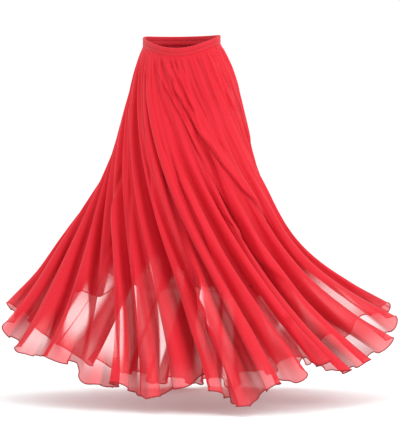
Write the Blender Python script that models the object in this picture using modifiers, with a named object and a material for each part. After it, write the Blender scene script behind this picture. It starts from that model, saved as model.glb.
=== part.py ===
"""A flared chiffon dance skirt with a shorter lining, held in the turn of a dance step.

Units are metres and +Z is up. The origin is the middle of the waistband's ring. The long way of
the spread hem is X, and the side that is seen first faces -Y. Each cloth piece is an open grid
over one formula, which Solidify makes a wall. The formula is a ring at the band, a ring of fold
crests at the hem, a curve from one to the other for each crest, and a valley between each two.
"""

import math
from collections import namedtuple

import bmesh
import bpy
import numpy as np

# Waistband
BAND_HALF_WIDTH = 0.118
BAND_HALF_DEPTH = 0.088
BAND_HEIGHT = 0.025
BAND_THICKNESS = 0.0045
BAND_BEVEL = 0.0012
BAND_SEGMENTS = 72
BAND_FACES_DEG = -130.0
FRONT_DIP = 0.042
FRONT_DIP_POWER = 3.5
FRONT_DIP_AT_DEG = 25.0

# Cloth walls and the gaps at their seams
WALL = 0.0011
BAND_SEAM_GAP = 0.00045
SIDE_SEAM_GAP = 0.00045
SEAM_FLAT = 0.04
OUTER_FROM_BAND_MIDDLE = 0.0009
LINING_BEHIND_OUTER = 0.0018
LINING_DROPS_AWAY = 0.0090
LINING_FOLD_SHARE = 0.40
LINING_ROUNDNESS_SHARE = 0.3
LINING_NOTCH_SHARE = 0.3

# Folds
FIRST_CREST_DEG = -45.0
STEPS_PER_FOLD = 8
GATHER_DEPTH = 0.0026
GATHER_AT_SEAM = 0.0005
GATHER_PEAK = 0.07
GATHERS_PER_FOLD = 2
FOLD_ROUNDNESS = 0.075
FOLD_GROWTH = 0.95
NOTCH_GROWTH = 3.0
LONG_WANDER = 0.24
LONG_WANDER_WAVES = 4
SHORT_WANDER = 0.10
SHORT_WANDER_WAVES = 9
LEAVE_HANDLE = 0.42
LAND_HANDLE = 0.30
HIP_AT = 0.115
SAG_FROM = 0.33
SAG_TO = 0.97

UPPER_ROWS = (0.0, 0.04, 0.10, 0.20, 0.34, 0.50)
LOWER_ROWS = (0.66, 0.82, 1.0)

# One row for each fold, in order round the hem from the edge that laps over the deep front fold.
# x, y, z is the crest at the hem. depth is how far in the cloth goes before the next crest, notch
# how much the hem rises there, lean how far the valley's foot slips along the hem, in folds, and
# start the share of the cloth's length that hangs before the valley begins.
Fold = namedtuple("Fold", "x y z depth notch lean start")
FOLDS = (
    Fold(0.086, -0.338, -0.952, 0.068, 0.020, 0.00, 0.22),
    Fold(0.166, -0.360, -0.988, 0.078, 0.030, 0.06, 0.04),
    Fold(0.243, -0.338, -0.938, 0.070, 0.040, 0.00, 0.26),
    Fold(0.322, -0.290, -0.926, 0.074, 0.066, -0.04, 0.08),
    Fold(0.388, -0.225, -0.886, 0.068, 0.044, 0.04, 0.30),
    Fold(0.452, -0.156, -0.914, 0.080, 0.030, 0.08, 0.10),
    Fold(0.515, -0.080, -0.894, 0.080, 0.026, -0.05, 0.28),
    Fold(0.582, 0.000, -0.857, 0.058, 0.024, 0.06, 0.14),
    Fold(0.612, 0.082, -0.798, 0.045, 0.020, 0.00, 0.32),
    Fold(0.598, 0.168, -0.752, 0.046, 0.026, 0.04, 0.16),
    Fold(0.522, 0.248, -0.800, 0.066, 0.030, -0.06, 0.06),
    Fold(0.428, 0.308, -0.868, 0.085, 0.022, 0.05, 0.24),
    Fold(0.320, 0.345, -0.925, 0.080, 0.030, 0.00, 0.05),
    Fold(0.205, 0.375, -0.962, 0.085, 0.018, 0.08, 0.20),
    Fold(0.092, 0.385, -0.985, 0.075, 0.026, -0.06, 0.06),
    Fold(-0.020, 0.380, -0.986, 0.085, 0.020, 0.04, 0.26),
    Fold(-0.130, 0.360, -0.968, 0.080, 0.030, -0.08, 0.08),
    Fold(-0.240, 0.320, -0.934, 0.085, 0.022, 0.06, 0.22),
    Fold(-0.340, 0.255, -0.888, 0.080, 0.028, 0.00, 0.05),
    Fold(-0.426, 0.194, -0.820, 0.058, 0.024, 0.00, 0.24),
    Fold(-0.486, 0.100, -0.752, 0.044, 0.020, 0.00, 0.14),
    Fold(-0.497, 0.002, -0.812, 0.060, 0.030, 0.03, 0.06),
    Fold(-0.452, -0.092, -0.868, 0.062, 0.030, 0.00, 0.22),
    Fold(-0.356, -0.166, -0.880, 0.072, 0.058, 0.08, 0.05),
    Fold(-0.258, -0.226, -0.940, 0.065, 0.016, -0.05, 0.20),
    Fold(-0.172, -0.272, -0.934, 0.072, 0.018, 0.05, 0.03),
    Fold(-0.092, -0.305, -0.971, 0.068, 0.028, 0.00, 0.16),
    Fold(-0.010, -0.318, -0.944, 0.106, 0.072, 0.00, 0.00),
)

# How the cloth hangs between band and hem, a row at some of the folds. leave and land are its
# angles from plumb at the band and at the hem, hip its bulge over the hip, sag how far it swings in
# below the hip, and lining the lining's length as a share of the cloth's.
Hang = namedtuple("Hang", "fold leave land hip sag lining")
HANGS = (
    Hang(0, 22, 27, 0.006, 0.000, 0.60),
    Hang(3, 24, 34, 0.008, 0.000, 0.68),
    Hang(6, 22, 52, 0.014, 0.004, 0.66),
    Hang(9, 17, 64, 0.023, 0.030, 0.56),
    Hang(12, 21, 48, 0.016, 0.016, 0.68),
    Hang(15, 24, 30, 0.010, 0.000, 0.66),
    Hang(17, 28, 34, 0.008, -0.004, 0.70),
    Hang(20, 36, 42, 0.006, -0.014, 0.70),
    Hang(23, 30, 34, 0.004, -0.006, 0.74),
    Hang(26, 22, 24, 0.006, 0.000, 0.57),
)

SIDE_SEAMS = (-3.5, 10.5, 24.5)

# Colours as linear values, with the roughness of matt chiffon, of the lining and of the band
Finish = namedtuple("Finish", "colour roughness")
CHIFFON = Finish((0.80, 0.020, 0.036), 0.62)
LINING_CLOTH = Finish((0.66, 0.014, 0.026), 0.55)
BAND_CLOTH = Finish((0.76, 0.018, 0.034), 0.58)


def spline(places, values, at):
    """A closed smooth curve through values at places round the hem, read at at."""
    count = len(FOLDS)
    places = np.asarray(places, float)
    values = np.asarray(values, float)
    padded = np.concatenate([places[-2:] - count, places, places[:2] + count])
    levels = np.concatenate([values[-2:], values, values[:2]])
    at = np.asarray(at, float) % count
    i = np.clip(np.searchsorted(padded, at, side="right") - 1, 1, len(padded) - 3)
    gap = padded[i + 1] - padded[i]
    before = (levels[i + 1] - levels[i - 1]) / (padded[i + 1] - padded[i - 1]) * gap
    after = (levels[i + 2] - levels[i]) / (padded[i + 2] - padded[i]) * gap
    s = (at - padded[i]) / gap
    return (
        levels[i] * (2 * s**3 - 3 * s**2 + 1)
        + before * (s**3 - 2 * s**2 + s)
        + levels[i + 1] * (3 * s**2 - 2 * s**3)
        + after * (s**3 - s**2)
    )


def fold_value(column, at):
    """A column of FOLDS, read at any place round the hem."""
    return spline(range(len(FOLDS)), [getattr(f, column) for f in FOLDS], at)


def hang_value(column, at):
    """A column of HANGS, read at any place round the hem."""
    return spline([h.fold for h in HANGS], [getattr(h, column) for h in HANGS], at)


def band_point(degrees, height):
    """The band's middle surface at an angle from the front centre, and its outward direction."""
    angle = np.radians(degrees)
    facing = math.radians(BAND_FACES_DEG)
    front = np.array([math.cos(facing), math.sin(facing), 0.0])
    side = np.array([-math.sin(facing), math.cos(facing), 0.0])
    cos, sin = np.cos(angle)[:, None], np.sin(angle)[:, None]
    point = BAND_HALF_DEPTH * cos * front + BAND_HALF_WIDTH * sin * side
    outward = BAND_HALF_WIDTH * cos * front + BAND_HALF_DEPTH * sin * side
    outward /= np.linalg.norm(outward, axis=1)[:, None]
    from_lowest = angle - math.radians(FRONT_DIP_AT_DEG)
    dip = FRONT_DIP * ((1 + np.cos(from_lowest)) / 2) ** FRONT_DIP_POWER
    point[:, 2] = height - dip
    return point, outward


def crest_surface(at, t):
    """The sheet that the fold crests lie on: t runs from 0 at the band to 1 at the hem."""
    degrees = FIRST_CREST_DEG + at * 360 / len(FOLDS)
    top, outward = band_point(degrees, -BAND_HEIGHT / 2 - BAND_SEAM_GAP)
    top = top + OUTER_FROM_BAND_MIDDLE * outward
    hem = np.stack([fold_value(c, at) for c in "xyz"], axis=1)
    run = (hem - top) * [1, 1, 0]
    run /= np.linalg.norm(run, axis=1)[:, None]
    away = run + outward
    away /= np.linalg.norm(away, axis=1)[:, None]
    length = np.linalg.norm(hem - top, axis=1)[:, None]
    leave = np.radians(hang_value("leave", at))[:, None]
    land = np.radians(hang_value("land", at))[:, None]
    down = np.array([0.0, 0.0, -1.0])
    second = top + LEAVE_HANDLE * length * (np.sin(leave) * away + np.cos(leave) * down)
    third = hem - LAND_HANDLE * length * (np.sin(land) * run + np.cos(land) * down)
    s = np.asarray(t, float)[:, None]
    point = (
        (1 - s) ** 3 * top
        + 3 * (1 - s) ** 2 * s * second
        + 3 * (1 - s) * s**2 * third
        + s**3 * hem
    )
    over_hip = (s / HIP_AT) * np.exp(1 - s / HIP_AT)
    below = np.sin(math.pi * np.clip((s - SAG_FROM) / (SAG_TO - SAG_FROM), 0, 1)) ** 2
    point = point + hang_value("hip", at)[:, None] * over_hip * outward
    return point - hang_value("sag", at)[:, None] * below * run


def frame_at(at, t):
    """The crest surface with its outward normal, the way round the hem, and a fold's width."""
    step = 0.02
    point = crest_surface(at, t)
    round_hem = crest_surface(at + step, t) - crest_surface(at - step, t)
    width = np.linalg.norm(round_hem, axis=1)[:, None] / (2 * step)
    round_hem /= np.linalg.norm(round_hem, axis=1)[:, None]
    down = crest_surface(at, t + step) - crest_surface(at, t - step)
    normal = np.cross(down, round_hem)
    normal /= np.linalg.norm(normal, axis=1)[:, None]
    return point, normal, round_hem, width


def wander(at):
    """How far the tops of the folds stand from even spacing, in folds, at each place."""
    turn = 2 * math.pi * at / len(FOLDS)
    slow = LONG_WANDER * np.sin(LONG_WANDER_WAVES * turn + 4.2)
    return slow + SHORT_WANDER * np.sin(SHORT_WANDER_WAVES * turn + 2.4)


def cloth(at, t, lining=False):
    """Points of the outer cloth, or of the lining inside it, at places at and lengths t."""
    point, normal, round_hem, width = frame_at(at, t)
    at = at + wander(at) * (1 - t)
    phase = 2 * math.pi * at
    valley = (1 - np.cos(phase)) / 2
    start = np.clip(fold_value("start", at - 0.5), 0, 0.5)
    grown = (np.clip(t - start, 0, 1) / (1 - start)) ** FOLD_GROWTH
    depth = fold_value("depth", at - 0.5) * grown
    share = LINING_FOLD_SHARE if lining else 1.0
    inward = depth * (1 - share + share * valley)
    swell = GATHER_AT_SEAM + GATHER_DEPTH * (t / GATHER_PEAK) * np.exp(1 - t / GATHER_PEAK)
    inward = inward + swell * (1 - np.cos(GATHERS_PER_FOLD * phase)) / 2
    if lining:
        inward = inward + LINING_BEHIND_OUTER + LINING_DROPS_AWAY * t
    roundness = FOLD_ROUNDNESS * (LINING_ROUNDNESS_SHARE if lining else 1.0)
    slip = roundness * grown * np.sin(2 * phase)
    slip = slip + fold_value("lean", at - 0.5) * grown * valley
    rise = fold_value("notch", at - 0.5) * valley * t**NOTCH_GROWTH
    if lining:
        rise = LINING_NOTCH_SHARE * rise
    moved = point - inward[:, None] * normal + slip[:, None] * width * round_hem
    moved[:, 2] += rise
    return moved


def material(name, finish):
    """A plain cloth material."""
    made = bpy.data.materials.new(name)
    made.use_nodes = True
    shader = made.node_tree.nodes["Principled BSDF"]
    shader.inputs["Base Color"].default_value = (*finish.colour, 1.0)
    shader.inputs["Roughness"].default_value = finish.roughness
    shader.inputs["Metallic"].default_value = 0.0
    return made


def grid_object(name, rows, closed, thickness, finish, collection):
    """A sheet through rows of points, each row round the skirt, walled by Solidify."""
    mesh = bmesh.new()
    lines = [[mesh.verts.new(p) for p in row] for row in rows]
    count = len(lines[0])
    for upper, lower in zip(lines, lines[1:]):
        for i in range(count if closed else count - 1):
            j = (i + 1) % count
            mesh.faces.new((upper[i], lower[i], lower[j], upper[j]))
    data = bpy.data.meshes.new(name)
    mesh.to_mesh(data)
    mesh.free()
    data.shade_smooth()
    data.materials.append(material(name + "_cloth", finish))
    obj = bpy.data.objects.new(name, data)
    collection.objects.link(obj)
    wall = obj.modifiers.new("wall", "SOLIDIFY")
    wall.thickness = thickness
    wall.offset = 0.0
    return obj


def panel(name, first, last, lining, finish, collection):
    """One half of the outer cloth or of the lining, from side seam to side seam."""
    at = np.linspace(first, last, round((last - first) * STEPS_PER_FOLD) + 1)
    at = np.concatenate([[first, first + SEAM_FLAT], at[1:-1], [last - SEAM_FLAT, last]])
    lengths = [np.full(len(at), t) for t in UPPER_ROWS]
    if lining:
        edge = hang_value("lining", at)
        lengths += [(lengths[-1] + edge) / 2, edge]
    else:
        lengths += [np.full(len(at), t) for t in LOWER_ROWS]
    rows = []
    for t in lengths:
        row = cloth(at, t, lining)
        for end, inner in ((0, 1), (-1, -2)):
            way = row[inner] - row[end]
            row[end] += SIDE_SEAM_GAP / 2 * way / np.linalg.norm(way)
        rows.append(row)
    return grid_object(name, rows, False, WALL, finish, collection)


def waistband(collection):
    """The elastic casing: a ring that dips at the front, with soft edges."""
    degrees = np.linspace(0, 360, BAND_SEGMENTS, endpoint=False)
    heights = (BAND_HEIGHT / 2, 0.0, -BAND_HEIGHT / 2)
    rows = [band_point(degrees, height)[0] for height in heights]
    obj = grid_object("waistband", rows, True, BAND_THICKNESS, BAND_CLOTH, collection)
    soft = obj.modifiers.new("soft_edge", "BEVEL")
    soft.width = BAND_BEVEL
    soft.segments = 1
    soft.limit_method = "ANGLE"
    return obj


def main():
    for obj in list(bpy.data.objects):
        bpy.data.objects.remove(obj, do_unlink=True)
    skirt = bpy.data.collections.new("dance_skirt")
    bpy.context.scene.collection.children.link(skirt)
    waistband(skirt)
    right_side, left_side, right_again = SIDE_SEAMS
    panel("outer_front", right_side, left_side, False, CHIFFON, skirt)
    panel("outer_back", left_side, right_again, False, CHIFFON, skirt)
    panel("lining_front", right_side, left_side, True, LINING_CLOTH, skirt)
    panel("lining_back", left_side, right_again, True, LINING_CLOTH, skirt)


main()
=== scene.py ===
"""Looks of a flared chiffon dance skirt with a shorter lining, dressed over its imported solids.

Units are metres, +Z is up and the origin is the middle of the waistband's ring. The cloth is
worked out from the same fold tables as its solids, with finer gathers and creases on it.
"""

import logging
import math
from dataclasses import dataclass, field
from enum import Enum

import bpy
import numpy as np
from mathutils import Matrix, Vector


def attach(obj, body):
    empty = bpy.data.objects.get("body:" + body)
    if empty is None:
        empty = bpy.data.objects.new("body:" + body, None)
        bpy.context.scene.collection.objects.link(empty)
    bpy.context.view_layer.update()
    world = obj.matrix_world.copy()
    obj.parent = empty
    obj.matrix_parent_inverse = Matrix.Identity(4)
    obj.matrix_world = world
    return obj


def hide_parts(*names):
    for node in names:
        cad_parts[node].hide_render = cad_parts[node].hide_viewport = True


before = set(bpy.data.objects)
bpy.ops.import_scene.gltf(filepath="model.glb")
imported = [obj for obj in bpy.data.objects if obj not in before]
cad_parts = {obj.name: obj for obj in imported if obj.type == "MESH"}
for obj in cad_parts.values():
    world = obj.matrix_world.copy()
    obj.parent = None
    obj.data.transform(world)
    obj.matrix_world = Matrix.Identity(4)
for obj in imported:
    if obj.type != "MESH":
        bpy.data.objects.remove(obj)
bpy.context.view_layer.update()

Array = np.ndarray
Colour = tuple[float, float, float, float]
LOG = logging.getLogger("dance_skirt")


def smooth_step(low: float, high: float, value: Array) -> Array:
    """A soft step from 0 at low to 1 at high.

    Args:
        low: where the step starts.
        high: where it ends.
        value: numbers to read it at.

    Returns:
        The step's height at each number.
    """
    s = np.clip((value - low) / (high - low), 0.0, 1.0)
    return s * s * (3 - 2 * s)


class Layer(Enum):
    """Which cloth a point lies on."""

    OUTER = "outer"
    LINING = "lining"


@dataclass(frozen=True)
class Fold:
    """A fold crest's place at the hem, then its valley's depth, hem rise, slip and start."""

    x: float
    y: float
    z: float
    depth: float
    notch: float
    lean: float
    start: float


@dataclass(frozen=True)
class Hang:
    """How the cloth hangs at one fold: angles from plumb, bulges, and the lining's share."""

    fold: int
    leave: float
    land: float
    hip: float
    sag: float
    lining: float


@dataclass(frozen=True)
class Crease:
    """A soft ridge or trough down the cloth, placed in folds round it and shares of its length."""

    at: float
    drift: float
    width: float
    height: float
    start: float
    end: float


@dataclass(frozen=True)
class Opening:
    """A stretch where one layer is spread flat and lets light through."""

    at: float
    drift: float
    width: float
    start: float
    end: float
    cover: float


@dataclass(frozen=True)
class CreaseGroup:
    """A kind of crease, with the ranges that its sizes are spread over."""

    per_fold: int
    height: tuple[float, float]
    width: tuple[float, float]
    drift: float
    start: tuple[float, float]
    end: tuple[float, float]


@dataclass(frozen=True)
class Sweep:
    """A long fold edge that runs across the pleats, steep on one side and full on the other."""

    path: tuple[tuple[float, float], ...]
    height: float
    steep: float
    full: float
    fade_in: float = 0.10
    fade_out: float = 0.12
    samples: int = 160
    smoothed_over: int = 41
    folds_per_length: float = 0.035
    trough_share: float = 0.4
    trough_off: float = 2.1
    trough_width: float = 1.2
    full_shade_from: float = 0.012

    def offset(self, at: Array, t: Array) -> tuple[Array, Array]:
        """How far each place lies from the edge, in folds, and how fully the edge is raised there.

        Args:
            at: places in folds.
            t: shares of the length.

        Returns:
            The offsets and the shares of full height.
        """
        count = len(FOLDS)
        places = np.array([place for place, _ in self.path])
        shares = np.array([share for _, share in self.path])
        fine = np.linspace(shares[0], shares[-1], self.samples)
        kernel = np.hanning(self.smoothed_over)
        margin = self.smoothed_over // 2
        padded = np.pad(np.interp(fine, shares, places), margin, mode="reflect", reflect_type="odd")
        line = np.convolve(padded, kernel / kernel.sum(), mode="valid")
        slope = np.interp(t, fine, np.gradient(line, fine))
        off = at - np.interp(t, fine, line)
        off = (off + count / 2) % count - count / 2
        begin = smooth_step(shares[0], shares[0] + self.fade_in, t)
        finish = 1 - smooth_step(shares[-1] - self.fade_out, shares[-1], t)
        return off / np.sqrt(1 + (self.folds_per_length * slope) ** 2), begin * finish

    def height_at(self, at: Array, t: Array) -> Array:
        """How far the edge stands out.

        Args:
            at: places in folds.
            t: shares of the length.

        Returns:
            The height in metres.
        """
        off, raised = self.offset(at, t)
        side = np.where(off < 0, self.steep, self.full)
        ridge = np.exp(-((off / side) ** 2))
        from_trough = off + self.trough_off * self.steep
        trough = self.trough_share * np.exp(-((from_trough / (self.trough_width * self.steep)) ** 2))
        return self.height * (ridge - trough) * raised

    def shade_at(self, at: Array, t: Array) -> Array:
        """How much painted shadow falls on the cloth under the steep side, from 0 to 1."""
        off, raised = self.offset(at, t)
        steps_under = -off / self.steep
        under = smooth_step(0.0, 1.6, steps_under) * (1 - smooth_step(3.0, 7.0, steps_under))
        return under * raised * smooth_step(0.0, self.full_shade_from, np.full_like(off, self.height))


# x, y, z of the crest at the hem, then the valley's depth, notch, lean and start
FOLDS: tuple[Fold, ...] = (
    Fold(0.086, -0.338, -0.952, 0.068, 0.020, 0.00, 0.22),
    Fold(0.166, -0.360, -0.988, 0.078, 0.030, 0.06, 0.04),
    Fold(0.243, -0.338, -0.938, 0.070, 0.040, 0.00, 0.26),
    Fold(0.322, -0.290, -0.926, 0.074, 0.066, -0.04, 0.08),
    Fold(0.388, -0.225, -0.886, 0.068, 0.044, 0.04, 0.30),
    Fold(0.452, -0.156, -0.914, 0.080, 0.030, 0.08, 0.10),
    Fold(0.515, -0.080, -0.894, 0.080, 0.026, -0.05, 0.28),
    Fold(0.582, 0.000, -0.857, 0.058, 0.024, 0.06, 0.14),
    Fold(0.612, 0.082, -0.798, 0.045, 0.020, 0.00, 0.32),
    Fold(0.598, 0.168, -0.752, 0.046, 0.026, 0.04, 0.16),
    Fold(0.522, 0.248, -0.800, 0.066, 0.030, -0.06, 0.06),
    Fold(0.428, 0.308, -0.868, 0.085, 0.022, 0.05, 0.24),
    Fold(0.320, 0.345, -0.925, 0.080, 0.030, 0.00, 0.05),
    Fold(0.205, 0.375, -0.962, 0.085, 0.018, 0.08, 0.20),
    Fold(0.092, 0.385, -0.985, 0.075, 0.026, -0.06, 0.06),
    Fold(-0.020, 0.380, -0.986, 0.085, 0.020, 0.04, 0.26),
    Fold(-0.130, 0.360, -0.968, 0.080, 0.030, -0.08, 0.08),
    Fold(-0.240, 0.320, -0.934, 0.085, 0.022, 0.06, 0.22),
    Fold(-0.340, 0.255, -0.888, 0.080, 0.028, 0.00, 0.05),
    Fold(-0.426, 0.194, -0.820, 0.058, 0.024, 0.00, 0.24),
    Fold(-0.486, 0.100, -0.752, 0.044, 0.020, 0.00, 0.14),
    Fold(-0.497, 0.002, -0.812, 0.060, 0.030, 0.03, 0.06),
    Fold(-0.452, -0.092, -0.868, 0.062, 0.030, 0.00, 0.22),
    Fold(-0.356, -0.166, -0.880, 0.072, 0.058, 0.08, 0.05),
    Fold(-0.258, -0.226, -0.940, 0.065, 0.016, -0.05, 0.20),
    Fold(-0.172, -0.272, -0.934, 0.072, 0.018, 0.05, 0.03),
    Fold(-0.092, -0.305, -0.971, 0.068, 0.028, 0.00, 0.16),
    Fold(-0.010, -0.318, -0.944, 0.106, 0.072, 0.18, 0.00),
)

# fold, leave and land in degrees from plumb, hip, sag, lining's share of the length
HANGS: tuple[Hang, ...] = (
    Hang(0, 22, 27, 0.006, 0.000, 0.60),
    Hang(3, 24, 34, 0.008, 0.000, 0.68),
    Hang(6, 22, 52, 0.014, 0.004, 0.66),
    Hang(9, 17, 64, 0.023, 0.030, 0.56),
    Hang(12, 21, 48, 0.016, 0.016, 0.68),
    Hang(15, 24, 30, 0.010, 0.000, 0.66),
    Hang(17, 28, 34, 0.008, -0.004, 0.70),
    Hang(20, 36, 42, 0.006, -0.014, 0.70),
    Hang(23, 30, 34, 0.004, -0.006, 0.74),
    Hang(26, 22, 24, 0.006, 0.000, 0.57),
)

# at, drift, width, height, start, end: the creases that show plainly on the front
MAIN_CREASES: tuple[Crease, ...] = (
    Crease(26.6, 0.10, 0.10, 0.0022, 0.05, 0.60),
    Crease(25.7, -0.05, 0.09, -0.0020, 0.10, 0.75),
    Crease(24.9, 0.08, 0.12, 0.0024, 0.08, 0.70),
    Crease(24.2, -0.08, 0.09, 0.0018, 0.20, 0.85),
    Crease(23.4, 0.10, 0.10, -0.0020, 0.15, 0.80),
    Crease(0.30, 0.06, 0.08, -0.0018, 0.12, 0.70),
    Crease(0.85, -0.06, 0.10, 0.0022, 0.06, 0.62),
    Crease(1.70, 0.08, 0.08, -0.0018, 0.10, 0.78),
    Crease(2.35, -0.05, 0.10, 0.0022, 0.14, 0.66),
    Crease(3.20, 0.10, 0.09, 0.0020, 0.05, 0.80),
    Crease(4.25, -0.08, 0.10, -0.0022, 0.12, 0.72),
    Crease(5.15, 0.06, 0.12, 0.0022, 0.20, 0.90),
    Crease(6.30, 0.05, 0.10, 0.0020, 0.10, 0.85),
    Crease(7.25, -0.06, 0.10, -0.0020, 0.24, 0.92),
)

# at, drift, width, height, start, end: the gathers that show under the low front of the band
BAND_GATHERS: tuple[Crease, ...] = (
    Crease(1.30, 3.0, 0.16, -0.0036, -0.10, 0.34),
    Crease(1.95, 5.0, 0.13, -0.0030, -0.10, 0.24),
    Crease(2.45, 8.0, 0.15, -0.0040, -0.12, 0.30),
    Crease(2.85, 10.0, 0.16, 0.0034, -0.10, 0.30),
    Crease(3.25, 9.0, 0.14, -0.0042, -0.14, 0.32),
    Crease(3.80, 10.0, 0.18, 0.0032, -0.10, 0.26),
    Crease(4.25, 8.0, 0.15, -0.0036, -0.10, 0.26),
    Crease(5.20, 5.0, 0.16, -0.0034, -0.12, 0.28),
    Crease(6.10, 4.0, 0.14, -0.0024, -0.10, 0.20),
    Crease(7.30, 3.0, 0.16, -0.0020, -0.10, 0.22),
    Crease(8.90, 6.0, 0.15, -0.0024, -0.06, 0.30),
    Crease(9.30, 7.0, 0.13, -0.0020, -0.04, 0.34),
    Crease(0.50, 1.0, 0.14, -0.0030, -0.10, 0.32),
    Crease(27.6, -1.0, 0.16, -0.0028, -0.10, 0.40),
)


# path as (place, share of length), height, steep side, full side: the long fold edges of the front
SWEEPS: tuple[Sweep, ...] = (
    Sweep(((1.33, 0.00), (1.90, 0.12), (1.90, 0.23), (1.60, 0.34), (1.48, 0.50), (1.15, 0.65),
           (0.45, 0.79), (0.08, 0.96)), 0.0110, 0.060, 0.45),
    Sweep(((2.60, 0.02), (4.04, 0.10), (4.71, 0.18), (5.04, 0.28), (5.60, 0.39), (5.62, 0.50)),
          0.0060, 0.055, 0.40),
    Sweep(((3.90, 0.00), (4.80, 0.09), (5.40, 0.16), (6.00, 0.23), (6.60, 0.31), (7.30, 0.40),
           (8.00, 0.54)), 0.0080, 0.055, 0.55),
    Sweep(((5.10, 0.00), (5.75, 0.12), (6.00, 0.22)), 0.0035, 0.060, 0.30),
    Sweep(((2.60, 0.28), (2.80, 0.40), (2.75, 0.49), (2.40, 0.63)), 0.0055, 0.060, 0.35),
    Sweep(((1.05, 0.00), (1.10, 0.17), (0.40, 0.34), (0.00, 0.46)), 0.0045, 0.055, 0.30),
    Sweep(((9.10, 0.06), (9.60, 0.20), (9.00, 0.42)), 0.0040, 0.070, 0.35),
    Sweep(((4.40, 0.40), (5.30, 0.50), (5.90, 0.60), (6.20, 0.74)), 0.0045, 0.080, 0.45),
    Sweep(((25.6, 0.26), (24.8, 0.46), (24.0, 0.64)), 0.0050, 0.070, 0.40),
    Sweep(((26.6, 0.30), (26.1, 0.50), (25.9, 0.70)), 0.0045, 0.060, 0.35),
    Sweep(((12.0, 0.02), (12.9, 0.20), (13.0, 0.50), (12.6, 0.72)), 0.0060, 0.070, 0.45),
    Sweep(((14.6, 0.10), (15.4, 0.30), (15.8, 0.58)), 0.0065, 0.070, 0.40),
    Sweep(((18.3, 0.02), (17.6, 0.20), (17.3, 0.50), (17.6, 0.72)), 0.0060, 0.070, 0.45),
    Sweep(((20.6, 0.16), (20.2, 0.40), (20.4, 0.64)), 0.0050, 0.070, 0.40),
)

# at, drift, width, start, end, cover: the pale stretches of single cloth, front ones first
PALE_STRETCHES: tuple[Opening, ...] = (
    Opening(27.00, -1.20, 0.15, 0.48, 1.00, 0.32),
    Opening(26.08, -1.20, 0.11, 0.52, 0.96, 0.36),
    Opening(1.32, -1.90, 0.17, 0.48, 1.02, 0.32),
    Opening(24.15, 0.30, 0.42, 0.58, 0.97, 0.26),
    Opening(23.05, 0.90, 0.26, 0.66, 0.97, 0.28),
    Opening(24.90, -0.05, 0.16, 0.62, 0.98, 0.40),
    Opening(7.85, -1.20, 0.30, 0.64, 1.02, 0.32),
    Opening(6.60, 0.10, 0.14, 0.78, 1.02, 0.46),
    Opening(4.95, -8.00, 0.16, 0.70, 0.88, 0.36),
    Opening(4.75, 0.00, 0.14, 0.78, 1.00, 0.46),
    Opening(2.60, 0.10, 0.10, 0.78, 1.00, 0.55),
    Opening(22.20, 0.05, 0.20, 0.80, 1.02, 0.50),
    Opening(9.40, 0.00, 0.22, 0.78, 1.04, 0.46),
    Opening(10.04, 0.10, 0.24, 0.66, 1.02, 0.32),
    Opening(10.70, 0.60, 0.20, 0.62, 1.00, 0.36),
    Opening(11.37, 0.00, 0.22, 0.68, 1.02, 0.32),
    Opening(12.10, -0.80, 0.28, 0.54, 0.97, 0.30),
    Opening(13.45, 0.50, 0.20, 0.60, 1.02, 0.34),
    Opening(14.50, -0.60, 0.34, 0.52, 0.98, 0.26),
    Opening(15.75, 0.30, 0.38, 0.54, 1.00, 0.26),
    Opening(16.90, -0.20, 0.40, 0.54, 1.02, 0.26),
    Opening(18.15, 0.40, 0.38, 0.58, 1.00, 0.28),
    Opening(19.45, -0.20, 0.20, 0.70, 1.02, 0.40),
    Opening(20.80, 0.00, 0.22, 0.76, 1.02, 0.42),
)


# gathers a fold, then the ranges of height and width, drift, ranges of start and end
CREASE_GROUPS: tuple[CreaseGroup, ...] = (
    CreaseGroup(3, (0.0008, 0.0024), (0.09, 0.18), 3.0, (-0.14, -0.02), (0.10, 0.42)),
    CreaseGroup(4, (0.0008, 0.0024), (0.045, 0.090), 0.9, (0.02, 0.40), (0.50, 1.10)),
    CreaseGroup(2, (0.0016, 0.0042), (0.10, 0.20), 0.5, (0.12, 0.55), (0.80, 1.25)),
)


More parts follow.
